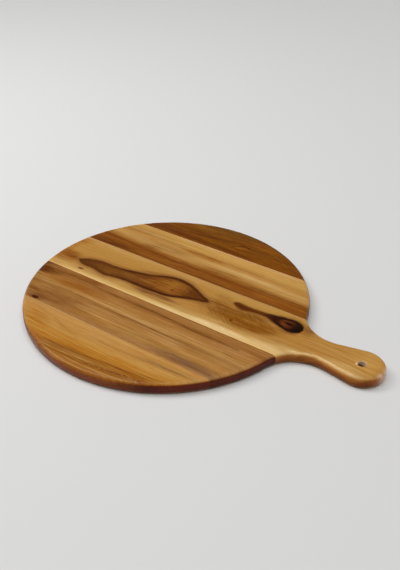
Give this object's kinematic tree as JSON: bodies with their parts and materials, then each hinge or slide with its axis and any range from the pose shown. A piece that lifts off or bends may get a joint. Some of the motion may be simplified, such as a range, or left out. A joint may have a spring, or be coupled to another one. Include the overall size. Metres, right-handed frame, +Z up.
{
  "type": "pizza serving board",
  "caption": "Round wooden pizza serving board with a short paddle handle and a hanging hole, edge glued from straight staves, with rounded edges all round.",
  "frame": {"origin": "centre of the round part, on the flat underside", "axes": "+X along the handle towards its tip, +Y across the staves to the left, +Z up from the underside"},
  "size_m": [0.496, 0.38, 0.015],
  "materials": {
    "dark_heartwood": "oiled satin, dark red-brown heartwood",
    "banded_wood": "oiled satin, light golden wood with a brown band along one side",
    "golden_sapwood": "oiled satin, golden sapwood with brown heartwood figures and a dark knot",
    "brown_heartwood": "oiled satin, mid brown heartwood with darker streaks",
    "orange_wood": "oiled satin, golden orange wood with brown bands near the rim"
  },
  "bodies": {
    "root": {"outer_left_stave": "dark_heartwood", "inner_left_stave": "banded_wood", "handle_stave": "golden_sapwood", "inner_right_stave": "brown_heartwood", "outer_right_stave": "orange_wood"}
  },
  "joints": []
}
